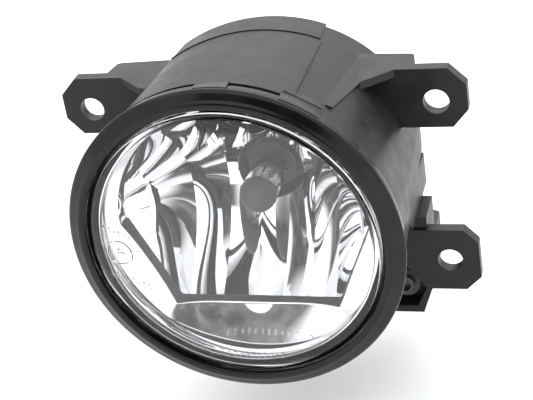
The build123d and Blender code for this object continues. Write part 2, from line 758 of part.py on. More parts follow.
def bulb_boot():
    """Make the rubber boot from the housing's rear opening to the reflector's neck."""
    hem_r = COLLAR_BORE_R - 1.4
    return lathe([
        (hem_r, 57.0), (COLLAR_BORE_R, 57.0), (COLLAR_BORE_R, 63.4), (COLLAR_BORE_R - 0.8, 64.2), (19.4, 64.2),
        (17.8, 62.6), (17.0, 63.4), (17.0, 65.6), (16.4, 66.2), (NECK_R, 66.2), (NECK_R, 61.4), (17.2, 61.4),
        (18.2, 61.2), (20.0, 63.0), (hem_r, 63.0),
    ])


def vent_cap():
    """Make the rubber breather cap with its four side notches."""
    cap = lathe([
        (VENT_R, 56.6), (4.6, 56.6), (5.0, 57.0), (5.0, 64.0), (4.4, 64.6), (0, 64.6), (0, 63.4),
        (VENT_R, 63.4),
    ])
    for turn in range(4):
        cap -= Rot(0, 90 * turn, 0) * block((VENT_R - 0.5, 6.0), (56.0, 58.6), (-0.6, 0.6))
    return Pos(VENT_X, 0, VENT_Z) * cap


def vent_membrane():
    """Make the thin breather disc on the spigot's end."""
    return rod_y(VENT_R - 0.3, VENT_END_Y, VENT_END_Y + 0.3, VENT_X, VENT_Z)


def single(shape):
    """Give a part as one shape, with separate solids kept apart in a compound."""
    return Compound(children=shape) if isinstance(shape, list) else shape


PARTS = {
    "housing": housing,
    "bezel": bezel,
    "lens": lens,
    "lens_seal": lens_seal,
    "reflector": reflector,
    "pivot_pins": pivot_pins,
    "pivot_bushes": pivot_bushes,
    "adjuster_screw": adjuster_screw,
    "adjuster_seal": adjuster_seal,
    "adjuster_clip": adjuster_clip,
    "adjuster_nut": adjuster_nut,
    "bulb_base": bulb_base,
    "bulb_glass": bulb_glass,
    "bulb_tip_cap": bulb_tip_cap,
    "bulb_filament": bulb_filament,
    "filament_leads": filament_leads,
    "bulb_collar": bulb_collar,
    "bulb_terminals": bulb_terminals,
    "bulb_seal": bulb_seal,
    "bulb_boot": bulb_boot,
    "vent_cap": vent_cap,
    "vent_membrane": vent_membrane,
}

os.makedirs("parts", exist_ok=True)
for name, make in PARTS.items():
    save(name, single(make()))
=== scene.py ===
import math

import bmesh
import bpy
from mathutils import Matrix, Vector


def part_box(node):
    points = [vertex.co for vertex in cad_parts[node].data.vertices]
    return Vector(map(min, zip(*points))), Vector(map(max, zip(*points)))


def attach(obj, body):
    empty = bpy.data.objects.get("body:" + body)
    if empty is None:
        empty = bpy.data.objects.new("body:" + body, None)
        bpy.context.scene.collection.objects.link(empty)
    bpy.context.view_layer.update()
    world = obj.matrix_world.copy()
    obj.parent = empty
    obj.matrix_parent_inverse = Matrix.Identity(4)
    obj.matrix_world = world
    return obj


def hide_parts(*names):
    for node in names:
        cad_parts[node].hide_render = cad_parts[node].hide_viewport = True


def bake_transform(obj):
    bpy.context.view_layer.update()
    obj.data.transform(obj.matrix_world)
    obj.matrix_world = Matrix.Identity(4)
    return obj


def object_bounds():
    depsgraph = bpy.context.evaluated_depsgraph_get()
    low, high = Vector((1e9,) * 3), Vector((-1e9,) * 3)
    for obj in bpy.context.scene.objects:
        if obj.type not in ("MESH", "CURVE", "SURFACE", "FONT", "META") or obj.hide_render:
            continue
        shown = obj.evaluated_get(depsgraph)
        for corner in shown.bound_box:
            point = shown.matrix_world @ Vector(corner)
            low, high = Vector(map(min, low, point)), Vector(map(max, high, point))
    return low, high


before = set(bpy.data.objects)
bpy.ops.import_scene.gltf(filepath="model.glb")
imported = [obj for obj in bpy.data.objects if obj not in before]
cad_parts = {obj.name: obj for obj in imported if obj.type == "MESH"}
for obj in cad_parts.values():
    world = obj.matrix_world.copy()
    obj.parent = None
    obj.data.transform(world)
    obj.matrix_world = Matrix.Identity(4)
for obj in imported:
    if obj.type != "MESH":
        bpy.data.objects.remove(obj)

CAD_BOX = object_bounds()
MM = 0.001

# Sizes below are millimetres about the lens axis: X right, Y to the rear, Z up.
# The origin is where the axis meets the plane of the front ring's outer edge,
# and the ring's lip stands in front of that plane by its depth.
RING_LIP_DEPTH = 2.75
RING_LOW, RING_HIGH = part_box("bezel")
AXIS_Y = RING_LOW.y / MM + RING_LIP_DEPTH
AXIS_Z = (RING_LOW.z + RING_HIGH.z) / 2 / MM


def at(x, y, z):
    """Turn a place about the lens axis, in millimetres, into the frame's metres."""
    return Vector((x * MM, (y + AXIS_Y) * MM, (z + AXIS_Z) * MM))


# ---------------------------------------------------------------- camera and stage

def make_camera():
    """Stand the camera to the right of the lamp and above it, and roll it a little."""
    azimuth = math.radians(18.49)
    elevation = math.radians(29.28)
    roll = math.radians(-9.44)
    distance = 395.03
    slide_right = 9.53
    slide_up = 13.21
    focal_length = 91.182
    sensor_width = 36.0
    nearest = 0.01
    furthest = 20.0
    back = Vector((
        math.sin(azimuth) * math.cos(elevation),
        -math.cos(azimuth) * math.cos(elevation),
        math.sin(elevation),
    ))
    level_right = Vector((math.cos(azimuth), math.sin(azimuth), 0.0))
    level_up = back.cross(level_right)
    right = level_right * math.cos(roll) + level_up * math.sin(roll)
    up = level_up * math.cos(roll) - level_right * math.sin(roll)
    data = bpy.data.cameras.new("camera")
    data.lens = focal_length
    data.sensor_width = sensor_width
    data.clip_start = nearest
    data.clip_end = furthest
    camera = bpy.data.objects.new("camera", data)
    bpy.context.scene.collection.objects.link(camera)
    turn = camera.matrix_world.to_3x3()
    turn.col[0] = right
    turn.col[1] = up
    turn.col[2] = back
    camera.rotation_mode = "QUATERNION"
    camera.rotation_quaternion = turn.to_quaternion()
    camera.location = at(*(back * distance + right * slide_right + up * slide_up))
    bpy.context.scene.camera = camera


class Nodes:
    """A short way to add nodes to a material or world and join them."""

    def __init__(self, tree):
        self.tree = tree
        tree.nodes.clear()

    def add(self, kind, **settings):
        """Add a node and set its own values by name."""
        node = self.tree.nodes.new(kind)
        for name, value in settings.items():
            setattr(node, name, value)
        return node

    def join(self, source, target):
        """Lead one node's output into another's input."""
        self.tree.links.new(source, target)

    def math(self, operation, first, second=None, clamp=False):
        """Do sums with numbers or with other nodes' outputs."""
        node = self.add("ShaderNodeMath", operation=operation, use_clamp=clamp)
        for socket, value in zip(node.inputs, (first, second)):
            if value is None:
                continue
            if isinstance(value, (int, float)):
                socket.default_value = value
            else:
                self.join(value, socket)
        return node.outputs[0]

    def smooth_step(self, value, low, high):
        """Rise smoothly from 0 to 1 while the value goes from low to high."""
        node = self.add("ShaderNodeMapRange", interpolation_type="SMOOTHSTEP")
        self.join(value, node.inputs["Value"])
        node.inputs["From Min"].default_value = low
        node.inputs["From Max"].default_value = high
        return node.outputs["Result"]


def soft_band(nodes, value, low, high, softness):
    """Give 1 between two limits and 0 beyond them, with soft edges."""
    rising = nodes.smooth_step(value, low - softness, low + softness)
    falling = nodes.smooth_step(value, high - softness, high + softness)
    return nodes.math("SUBTRACT", rising, falling)


def soft_panel(nodes, azimuth, elevation, across, upright, softness, strength):
    """Give the brightness of one panel of the studio, from its limits in azimuth and elevation."""
    wide = soft_band(nodes, azimuth, *across, softness)
    tall = soft_band(nodes, elevation, *upright, softness)
    return nodes.math("MULTIPLY", nodes.math("MULTIPLY", wide, tall), strength)


def gap_light(nodes, ray):
    """Give the little light that comes from the dark gaps between the panels, as a dim uneven room."""
    patches_per_turn = 7.0
    dimmest = 0.03
    swing = 0.24
    clutter = nodes.add("ShaderNodeTexNoise")
    clutter.inputs["Scale"].default_value = patches_per_turn
    clutter.inputs["Detail"].default_value = 3.0
    nodes.join(ray, clutter.inputs["Vector"])
    patches = nodes.math("MULTIPLY", nodes.smooth_step(clutter.outputs["Fac"], 0.4, 0.75), swing)
    return nodes.math("ADD", patches, dimmest)


def make_studio():
    """Make the studio: pale surroundings for the eye, and soft panels with dark gaps for what shines.

    Azimuth is 0 in front of the lamp and 90 on its right; both angles are in degrees."""
    world = bpy.data.worlds.new("studio")
    bpy.context.scene.world = world
    world.use_nodes = True
    nodes = Nodes(world.node_tree)
    ray = nodes.add("ShaderNodeTexCoord").outputs["Generated"]
    parts = nodes.add("ShaderNodeSeparateXYZ")
    nodes.join(ray, parts.inputs[0])
    degrees = 180.0 / math.pi
    towards_front = nodes.math("MULTIPLY", parts.outputs["Y"], -1.0)
    azimuth = nodes.math("MULTIPLY", nodes.math("ARCTAN2", parts.outputs["X"], towards_front), degrees)
    elevation = nodes.math("MULTIPLY", nodes.math("ARCSINE", parts.outputs["Z"]), degrees)
    panels = (
        # azimuth limits, elevation limits, softness, strength
        ((22.0, 200.0), (-95.0, 95.0), 5.0, 1.3),
        ((-200.0, -23.0), (-95.0, 95.0), 4.0, 1.25),
        ((-200.0, 200.0), (29.0, 95.0), 4.0, 1.9),
        ((-200.0, 200.0), (-95.0, -9.0), 2.0, 1.0),
        ((90.0, 220.0), (20.0, 80.0), 12.0, 3.3),
        ((-220.0, -130.0), (20.0, 80.0), 12.0, 3.3),
    )
    light = None
    for panel in panels:
        share = soft_panel(nodes, azimuth, elevation, *panel)
        light = share if light is None else nodes.math("MAXIMUM", light, share)
    light = nodes.math("MAXIMUM", light, gap_light(nodes, ray))
    warm_shade = (1.0, 0.90, 0.85, 1.0)
    cool_light = (0.97, 0.985, 1.0, 1.0)
    tint = nodes.add("ShaderNodeMix", data_type="RGBA")
    tint.inputs["A"].default_value = warm_shade
    tint.inputs["B"].default_value = cool_light
    nodes.join(nodes.smooth_step(light, 0.1, 0.9), tint.inputs["Factor"])
    plain = nodes.add("ShaderNodeBackground")
    plain.inputs["Color"].default_value = (1.0, 1.0, 1.0, 1.0)
    plain.inputs["Strength"].default_value = 1.0
    studio = nodes.add("ShaderNodeBackground")
    nodes.join(tint.outputs["Result"], studio.inputs["Color"])
    nodes.join(light, studio.inputs["Strength"])
    seen = nodes.add("ShaderNodeLightPath").outputs["Is Camera Ray"]
    mix = nodes.add("ShaderNodeMixShader")
    nodes.join(seen, mix.inputs[0])
    nodes.join(studio.outputs[0], mix.inputs[1])
    nodes.join(plain.outputs[0], mix.inputs[2])
    output = nodes.add("ShaderNodeOutputWorld")
    nodes.join(mix.outputs[0], output.inputs["Surface"])
    bpy.context.scene.view_settings.view_transform = "Standard"


def make_floor():
    """Lay a pale floor a little below the lamp."""
    half = 3.0
    gap = 0.02
    low = CAD_BOX[0].z - gap
    corners = [(-half, -half, low), (half, -half, low), (half, half, low), (-half, half, low)]
    mesh = bpy.data.meshes.new("floor")
    mesh.from_pydata(corners, [], [(0, 1, 2, 3)])
    floor = bpy.data.objects.new("floor", mesh)
    bpy.context.scene.collection.objects.link(floor)
    material = bpy.data.materials.new("pale_floor")
    material.use_nodes = True
    shader = material.node_tree.nodes["Principled BSDF"]
    shader.inputs["Base Color"].default_value = (0.82, 0.82, 0.82, 1.0)
    shader.inputs["Roughness"].default_value = 0.6
    mesh.materials.append(material)


# ---------------------------------------------------------------- materials

def surface(name, colour, other_colour, roughness, patch_size=4.0, grain_size=0.35, grain_depth=0.0,
            roughness_swing=0.06, metallic=0.0, specular=0.5):
    """Make a moulded or metal surface: clouds of two colours, uneven gloss and a fine raised grain.

    Sizes are millimetres, and the grain's depth is the height of its bumps."""
    middle_of_noise = 0.5
    half_reach_of_noise = 0.25
    material = bpy.data.materials.new(name)
    material.use_nodes = True
    nodes = Nodes(material.node_tree)
    shader = nodes.add("ShaderNodeBsdfPrincipled")
    shader.inputs["Metallic"].default_value = metallic
    shader.inputs["Specular IOR Level"].default_value = specular
    place = nodes.add("ShaderNodeTexCoord").outputs["Object"]
    clouds = nodes.add("ShaderNodeTexNoise")
    clouds.inputs["Scale"].default_value = 1.0 / (patch_size * MM)
    clouds.inputs["Detail"].default_value = 4.0
    nodes.join(place, clouds.inputs["Vector"])
    ramp = nodes.add("ShaderNodeMix", data_type="RGBA")
    ramp.inputs["A"].default_value = (*colour, 1.0)
    ramp.inputs["B"].default_value = (*other_colour, 1.0)
    nodes.join(nodes.smooth_step(clouds.outputs["Fac"], 0.35, 0.7), ramp.inputs["Factor"])
    nodes.join(ramp.outputs["Result"], shader.inputs["Base Color"])
    off_middle = nodes.math("SUBTRACT", clouds.outputs["Fac"], middle_of_noise)
    swing = nodes.math("MULTIPLY", off_middle, roughness_swing / half_reach_of_noise)
    nodes.join(nodes.math("ADD", roughness, swing, clamp=True), shader.inputs["Roughness"])
    if grain_depth:
        grain = nodes.add("ShaderNodeTexNoise")
        grain.inputs["Scale"].default_value = 1.0 / (grain_size * MM)
        grain.inputs["Detail"].default_value = 2.0
        nodes.join(place, grain.inputs["Vector"])
        bump = nodes.add("ShaderNodeBump")
        bump.inputs["Distance"].default_value = grain_depth * MM
        bump.inputs["Strength"].default_value = 1.0
        nodes.join(grain.outputs["Fac"], bump.inputs["Height"])
        nodes.join(bump.outputs["Normal"], shader.inputs["Normal"])
    output = nodes.add("ShaderNodeOutputMaterial")
    nodes.join(shader.outputs[0], output.inputs["Surface"])
    return material


def clear(name, haze_roughness, index, ripple_size, ripple_depth):
    """Make clear glass with faint ripples, a little haze in patches and a trace of grey."""
    clean = 1.0
    greyest = 0.985
    material = bpy.data.materials.new(name)
    material.use_nodes = True
    nodes = Nodes(material.node_tree)
    shader = nodes.add("ShaderNodeBsdfPrincipled")
    shader.inputs["Transmission Weight"].default_value = 1.0
    shader.inputs["IOR"].default_value = index
    place = nodes.add("ShaderNodeTexCoord").outputs["Object"]
    ripple = nodes.add("ShaderNodeTexNoise")
    ripple.inputs["Scale"].default_value = 1.0 / (ripple_size * MM)
    ripple.inputs["Detail"].default_value = 1.0
    nodes.join(place, ripple.inputs["Vector"])
    haze = nodes.math("MULTIPLY", nodes.smooth_step(ripple.outputs["Fac"], 0.45, 0.9), haze_roughness)
    nodes.join(haze, shader.inputs["Roughness"])
    shade = nodes.add("ShaderNodeMix", data_type="RGBA")
    shade.inputs["A"].default_value = (clean, clean, clean, 1.0)
    shade.inputs["B"].default_value = (greyest, greyest, greyest, 1.0)
    nodes.join(ripple.outputs["Fac"], shade.inputs["Factor"])
    nodes.join(shade.outputs["Result"], shader.inputs["Base Color"])
    bump = nodes.add("ShaderNodeBump")
    bump.inputs["Distance"].default_value = ripple_depth * MM
    nodes.join(ripple.outputs["Fac"], bump.inputs["Height"])
    nodes.join(bump.outputs["Normal"], shader.inputs["Normal"])
    output = nodes.add("ShaderNodeOutputMaterial")
    nodes.join(shader.outputs[0], output.inputs["Surface"])
    return material


# What each opaque finish is made of: two colours that cloud into each other, and how it shines
OPAQUE_FINISHES = {
    # the housing: dull and finely grained
    "black_plastic": {
        "colour": (0.011, 0.0105, 0.0105), "other_colour": (0.016, 0.0155, 0.0155), "roughness": 0.42,
        "patch_size": 7.0, "grain_size": 0.4, "grain_depth": 0.012, "roughness_swing": 0.08,
        "specular": 0.29,
    },
    # the front ring: glossy, with a trace of moulding ripple
    "gloss_black": {
        "colour": (0.004, 0.004, 0.005), "other_colour": (0.007, 0.007, 0.008), "roughness": 0.10,
        "patch_size": 9.0, "grain_size": 1.5, "grain_depth": 0.0006, "roughness_swing": 0.02,
        "specular": 0.28,
    },
    # the bead under the lens
    "sealant": {
        "colour": (0.05, 0.05, 0.055), "other_colour": (0.09, 0.09, 0.09), "roughness": 0.6,
        "grain_size": 1.0, "grain_depth": 0.05,
    },
    # the mirror
    "aluminised": {
        "colour": (0.90, 0.90, 0.91), "other_colour": (0.87, 0.875, 0.89), "roughness": 0.02,
        "patch_size": 12.0, "roughness_swing": 0.01, "metallic": 1.0,
    },
    # the reflector's back, and the step round its mirror below the shoulders, where this dark finish is
    # painted shade for the step's shadow
    "bare_moulding": {
        "colour": (0.022, 0.022, 0.022), "other_colour": (0.032, 0.031, 0.03), "roughness": 0.5,
        "grain_depth": 0.02,
    },
    # the pivot pins
    "steel": {
        "colour": (0.45, 0.45, 0.46), "other_colour": (0.55, 0.55, 0.55), "roughness": 0.3,
        "grain_depth": 0.004, "metallic": 1.0,
    },
    # the bushes and the sliding nut
    "nylon": {
        "colour": (0.72, 0.71, 0.67), "other_colour": (0.78, 0.77, 0.74), "roughness": 0.42,
        "grain_depth": 0.01,
    },
    # the aiming screw
    "dark_nylon": {
        "colour": (0.035, 0.035, 0.036), "other_colour": (0.05, 0.05, 0.05), "roughness": 0.4,
        "grain_depth": 0.01,
    },
    # the boot, the seals and the breather cap
    "rubber": {
        "colour": (0.018, 0.018, 0.018), "other_colour": (0.03, 0.03, 0.03), "roughness": 0.65,
        "grain_depth": 0.02,
    },
    # the aiming screw's clip and the cup that holds the bulb's capsule
    "spring_steel": {
        "colour": (0.04, 0.04, 0.042), "other_colour": (0.06, 0.06, 0.062), "roughness": 0.4,
        "grain_depth": 0.004, "metallic": 1.0,
    },
    # the bulb's base
    "bulb_plastic": {
        "colour": (0.05, 0.05, 0.052), "other_colour": (0.065, 0.065, 0.066), "roughness": 0.45,
        "grain_depth": 0.012,
    },
    # the bulb's dark opaque tip
    "tip_coating": {
        "colour": (0.095, 0.088, 0.09), "other_colour": (0.115, 0.107, 0.109), "roughness": 0.55,
        "patch_size": 2.0, "grain_size": 0.25, "grain_depth": 0.01,
    },
    # the filament and its leads
    "tungsten": {
        "colour": (0.32, 0.3, 0.3), "other_colour": (0.4, 0.38, 0.37), "roughness": 0.35,
        "patch_size": 1.0, "metallic": 1.0,
    },
    # the plug's blades
    "tinned_brass": {
        "colour": (0.7, 0.68, 0.62), "other_colour": (0.78, 0.72, 0.6), "roughness": 0.25,
        "patch_size": 2.0, "metallic": 1.0,
    },
    # the breather's disc
    "membrane": {
        "colour": (0.75, 0.75, 0.74), "other_colour": (0.82, 0.82, 0.8), "roughness": 0.7,
        "grain_depth": 0.01,
    },
}

# What each clear finish is made of
CLEAR_FINISHES = {
    # the lens and its marks: pressed glass
    "clear_glass": {"haze_roughness": 0.01, "index": 1.5, "ripple_size": 6.0, "ripple_depth": 0.004},
    # the bulb's capsule: blown quartz
    "bulb_glass": {"haze_roughness": 0.02, "index": 1.48, "ripple_size": 2.5, "ripple_depth": 0.06},
}


def make_materials():
    """Make each finish once, under its name in the record."""
    materials = {name: surface(name, **settings) for name, settings in OPAQUE_FINISHES.items()}
    materials.update({name: clear(name, **settings) for name, settings in CLEAR_FINISHES.items()})
    return materials


# ---------------------------------------------------------------- mesh helpers

def make_piece(mesh, body, slot, materials, sharp_angle=28.0, replaces=()):
    """Make a piece of a mesh, with the mesh's name, a finish and a place on a body.

    Edges sharper than the angle, in degrees, stay crisp, and the rest is shaded smooth."""
    mesh.validate()
    mesh.shade_smooth()
    mesh.set_sharp_from_angle(angle=math.radians(sharp_angle))
    mesh.materials.append(materials[slot])
    piece = bpy.data.objects.new(mesh.name, mesh)
    bpy.context.scene.collection.objects.link(piece)
    if replaces:
        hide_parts(*replaces)
    if body:
        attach(piece, body)
    return piece


def mesh_of(name, points, faces):
    """Make a mesh from places in millimetres about the lens axis, with its faces turned outwards."""
    mesh = bpy.data.meshes.new(name)
    mesh.from_pydata([at(*p) for p in points], [], faces)
    same_place = 0.001 * MM
    work = bmesh.new()
    work.from_mesh(mesh)
    bmesh.ops.remove_doubles(work, verts=work.verts, dist=same_place)
    bmesh.ops.recalc_face_normals(work, faces=work.faces)
    work.to_mesh(mesh)
    work.free()
    return mesh


FULL_TURN = 360.0
LARGEST_SHARE = 0.45    # of an edge that a rounded corner may take up


def bend(start, corner, end, steps):
    """Give the points of a smooth bend near a corner, from one of its sides to the other."""
    shares = [step / steps for step in range(steps + 1)]
    return [start * (1 - t) ** 2 + corner * 2 * t * (1 - t) + end * t ** 2 for t in shares]


def rounded(outline, radius, steps=5, closed=True):
    """Round an outline's corners; a corner between short edges gets a smaller radius."""
    count = len(outline)
    result = []
    for i, corner in enumerate(outline):
        if not closed and i in (0, count - 1):
            result.append(corner)
            continue
        here = Vector(corner)
        to_last = Vector(outline[i - 1]) - here
        to_next = Vector(outline[(i + 1) % count]) - here
        reach = min(radius, to_last.length * LARGEST_SHARE, to_next.length * LARGEST_SHARE)
        start = here + to_last.normalized() * reach
        end = here + to_next.normalized() * reach
        result += [tuple(point) for point in bend(start, here, end, steps)]
    return result


def band_faces(rings, count, closed=False):
    """Join rings of points with four-sided faces; a closed set joins its last ring to its first."""
    faces = []
    for ring in range(rings if closed else rings - 1):
        following = (ring + 1) % rings
        for i in range(count):
            j = (i + 1) % count
            faces.append((
                ring * count + i, ring * count + j, following * count + j, following * count + i,
            ))
    return faces


def end_faces(rings, count):
    """Close the first and the last ring of points with one face each."""
    return [tuple(range(count)), tuple((rings - 1) * count + i for i in range(count))]


def lathe_parts(outline, segments, start=0.0, end=FULL_TURN):
    """Turn a closed (radius, y) outline about the lens axis; less than a full turn gets end faces."""
    full = end - start == FULL_TURN
    rings = segments if full else segments + 1
    count = len(outline)
    points = []
    for ring in range(rings):
        angle = math.radians(start + (end - start) * ring / segments)
        for radius, y in outline:
            points.append((radius * math.cos(angle), y, radius * math.sin(angle)))
    faces = band_faces(rings, count, closed=full)
    if not full:
        faces += end_faces(rings, count)
    return points, faces


def box_outline(inner_r, outer_r, front_y, rear_y):
    """Give the four-cornered (radius, y) outline of a plain ring."""
    return [(inner_r, front_y), (outer_r, front_y), (outer_r, rear_y), (inner_r, rear_y)]


def merged(*parts):
    """Put several lists of points and faces into one."""
    points = []
    faces = []
    for more_points, more_faces in parts:
        shift = len(points)
        points.extend(more_points)
        faces.extend(tuple(i + shift for i in face) for face in more_faces)
    return points, faces


def tube_parts(path, radius, sides=10):
    """Sweep a round section along a path of points, with closed ends."""
    points = []
    vectors = [Vector(p) for p in path]
    last = len(vectors) - 1
    across = None
    for i, here in enumerate(vectors):
        ahead = (vectors[min(i + 1, last)] - vectors[max(i - 1, 0)]).normalized()
        if across is None:
            across = ahead.orthogonal().normalized()
        across = (across - ahead * across.dot(ahead)).normalized()
        other = ahead.cross(across)
        for side in range(sides):
            angle = 2 * math.pi * side / sides
            points.append(tuple(here + (across * math.cos(angle) + other * math.sin(angle)) * radius))
    rings = len(vectors)
    return points, band_faces(rings, sides) + end_faces(rings, sides)


# ---------------------------------------------------------------- front ring

CLIP_ANGLES = (60.0, 150.0, 240.0, 330.0)
CLIP_HALF_ANGLE = 6.9
CLIP_REAR_Y = 5.35
KEY_START_ANGLE = 83.8
KEY_END_ANGLE = 94.8
KEY_REAR_Y = 5.5
# Clips and key stand on the drum's outside, from under the ring's rear edge
TAB_INNER_R = 50.05
TAB_OUTER_R = 50.78
TAB_FRONT_Y = 1.0


def ring_outline():
    """Give the front ring's section: a glossy inner swell, a shallow valley and a sloping outer band."""
    bore_r = 45.1
    rear_y = 2.0
    swell = [(bore_r, -1.4), (45.25, -2.45), (46.0, -2.72), (47.2, -2.6)]
    valley = [(48.2, -2.0), (48.7, -1.75)]
    band = [(50.3, -0.95), (50.9, -0.45), (51.0, 0.05), (50.6, 0.7), (50.2, rear_y), (bore_r, rear_y)]
    return rounded(swell + valley + band, radius=0.4, steps=6)


def clip_part(angle):
    """Make one springy clip: a curved tab with a hook at its rear end."""
    hook_r = 49.25
    hook_front_y = 4.55
    tab = rounded([
        (TAB_INNER_R, TAB_FRONT_Y), (TAB_OUTER_R, TAB_FRONT_Y), (TAB_OUTER_R, CLIP_REAR_Y),
        (hook_r, CLIP_REAR_Y), (hook_r, hook_front_y), (TAB_INNER_R, hook_front_y),
    ], radius=0.2, steps=3)
    return lathe_parts(tab, 16, start=angle - CLIP_HALF_ANGLE, end=angle + CLIP_HALF_ANGLE)


def key_part():
    """Make the locating key at the top of the ring."""
    tab = rounded(box_outline(TAB_INNER_R, TAB_OUTER_R, TAB_FRONT_Y, KEY_REAR_Y), radius=0.2, steps=3)
    return lathe_parts(tab, 14, start=KEY_START_ANGLE, end=KEY_END_ANGLE)


def spigot_part():
    """Make the ring's low spigot, which centres it on the drum."""
    outline = box_outline(inner_r=49.4, outer_r=50.35, front_y=1.5, rear_y=3.3)
    return lathe_parts(rounded(outline, radius=0.2, steps=2), 180)


def make_front_ring(materials):
    """Make the glossy front ring, with its spigot, key and clips."""
    clips = [clip_part(angle) for angle in CLIP_ANGLES]
    ring = merged(lathe_parts(ring_outline(), 240), spigot_part(), key_part(), *clips)
    mesh = mesh_of("front_ring", *ring)
    make_piece(mesh, "lamp", "gloss_black", materials, sharp_angle=40.0, replaces=["bezel"])


def make_flange_trim(materials):
    """Line the housing's flange, just behind the lens skirt, with a thin bright ring."""
    outline = box_outline(inner_r=41.15, outer_r=41.56, front_y=3.3, rear_y=6.3)
    mesh = mesh_of("flange_trim", *lathe_parts(rounded(outline, radius=0.1, steps=2), 180))
    make_piece(mesh, "lamp", "aluminised", materials)


# ---------------------------------------------------------------- lens

LENS_R = 43.8
LENS_SKIRT_R = 41.0
LENS_EDGE_Y = -2.0
LENS_CROWN = 4.2
LENS_FOOT_Y = 3.2
LENS_BEVEL = 0.5
LENS_EDGE_THICKNESS = 3.4
LENS_CROWN_EXTRA = 0.4    # by which the inside is more domed than the outside


def dome_y(radius, edge_r, edge_y, crown):
    """Give a shallow dome's y at a radius."""
    ball_r = (edge_r ** 2 + crown ** 2) / (2 * crown)
    return edge_y - crown + ball_r - math.sqrt(ball_r ** 2 - radius ** 2)


def lens_front_y(radius):
    """Give the y of the lens's outside at a radius."""
    return dome_y(radius, LENS_R - LENS_BEVEL, LENS_EDGE_Y, LENS_CROWN)


def make_lens(materials):
    """Make the clear lens: a thin dome with a deep skirt."""
    rings = 36
    inner_edge_y = LENS_EDGE_Y + LENS_EDGE_THICKNESS
    inner_crown = LENS_CROWN + LENS_CROWN_EXTRA
    outside_r = LENS_R - LENS_BEVEL
    outline = [(outside_r * i / rings, lens_front_y(outside_r * i / rings)) for i in range(rings)]
    outline += rounded([
        (outside_r, LENS_EDGE_Y), (LENS_R, LENS_EDGE_Y + LENS_BEVEL), (LENS_R, LENS_FOOT_Y),
        (LENS_SKIRT_R, LENS_FOOT_Y), (LENS_SKIRT_R, inner_edge_y),
    ], radius=0.3, steps=4, closed=False)
    for i in range(rings - 1, -1, -1):
        radius = LENS_SKIRT_R * i / rings
        outline.append((radius, dome_y(radius, LENS_SKIRT_R, inner_edge_y, inner_crown)))
    mesh = mesh_of("lens_dome", *lathe_parts(outline, 160))
    make_piece(mesh, "lamp", "clear_glass", materials, sharp_angle=35.0, replaces=["lens"])


MARK_BED = -0.02    # a mark's foot lies a little inside the lens
MARK_HEIGHT = 0.3


def on_lens(x, z, height):
    """Give the place at an (x, z) on the lens, raised a little from its front."""
    return (x, lens_front_y(math.hypot(x, z)) - height, z)


def mark_part(outline):
    """Make one raised mark that follows the lens, from a flat (x, z) outline."""
    top_share = 0.85    # of the foot's size
    count = len(outline)
    middle_x = sum(p[0] for p in outline) / count
    middle_z = sum(p[1] for p in outline) / count
    points = [on_lens(x, z, MARK_BED) for x, z in outline]
    for x, z in outline:
        top_x = middle_x + (x - middle_x) * top_share
        top_z = middle_z + (z - middle_z) * top_share
        points.append(on_lens(top_x, top_z, MARK_HEIGHT))
    return points, end_faces(2, count) + band_faces(2, count)


def ring_mark(x, z, radius, width):
    """Make a raised ring on the lens."""
    sides = 40
    section = (
        # radius, height
        (radius - width / 2, MARK_BED), (radius - width / 4, MARK_HEIGHT),
        (radius + width / 4, MARK_HEIGHT), (radius + width / 2, MARK_BED),
    )
    points = []
    for i in range(sides):
        angle = 2 * math.pi * i / sides
        for r, height in section:
            points.append(on_lens(x + r * math.cos(angle), z + r * math.sin(angle), height))
    return points, band_faces(sides, len(section), closed=True)


def bar_mark(x, z, width, height):
    """Make a short raised bar on the lens."""
    left = x - width / 2
    right = x + width / 2
    bottom = z - height / 2
    top = z + height / 2
    return mark_part([(left, bottom), (right, bottom), (right, top), (left, top)])


def bar_row(start, end, count, height, thickness):
    """Make a row of upright bars from one (x, z) to another; every third one is half as tall."""
    bars = []
    for i in range(count):
        t = i / (count - 1)
        x = start[0] + (end[0] - start[0]) * t
        z = start[1] + (end[1] - start[1]) * t
        tall = height / 2 if i % 3 == 2 else height
        bars.append(bar_mark(x, z, thickness, tall))
    return bars


def make_lens_marks(materials):
    """Press plain marks into the lens: an arrow for the upper side, a ring, and rows of short bars."""
    arrow_z = 35.2
    ring_x = -34.9
    ring_z = -0.9
    marks = [
        mark_part([(-1.7, arrow_z + 0.2), (1.7, arrow_z + 0.2), (0.0, arrow_z + 2.6)]),
        bar_mark(0.0, arrow_z - 1.2, width=0.9, height=2.2),
        bar_mark(-3.9, arrow_z, width=0.8, height=4.2),
        bar_mark(3.9, arrow_z, width=0.8, height=4.2),
        ring_mark(ring_x, ring_z, radius=4.0, width=0.8),
        bar_mark(ring_x, ring_z, width=3.2, height=0.8),
    ]
    marks += bar_row((-38.4, 7.2), (-30.6, 4.6), count=6, height=2.2, thickness=0.6)
    marks += bar_row((-39.0, -8.6), (-27.4, -12.6), count=8, height=2.4, thickness=0.6)
    marks += bar_row((-12.2, -37.2), (10.4, -37.9), count=13, height=2.4, thickness=0.7)
    mesh = mesh_of("lens_marks", *merged(*marks))
    make_piece(mesh, "lamp", "clear_glass", materials, sharp_angle=20.0)


# ---------------------------------------------------------------- reflector's mirror

# The moulding is a paraboloid about the lens axis, and the mirror lies just in front of it
VERTEX_Y = 53.0
FOUR_FOCAL_LENGTHS = 42.0
MIRROR_GAP = 0.45
MIRROR_SKIN = 0.15
MIRROR_SHARP_ANGLE = 12.0
FLUTE_WIDTH = 9.6
FLUTE_DEPTH = 0.85
HOLE_R = 11.15
# The main mirror's edge above the shoulders, and its lower edge, hidden behind the ledge
MAIN_R = 38.9
BEHIND_LEDGE_R = 39.4
# The level ledge ends at a corner on each side, and straight chords rise from there to the shoulders
LEDGE_Z = -28.5
CORNER_X = 26.0
SHOULDER_Z = 1.0
SHOULDER_X = math.sqrt(MAIN_R ** 2 - SHOULDER_Z ** 2)
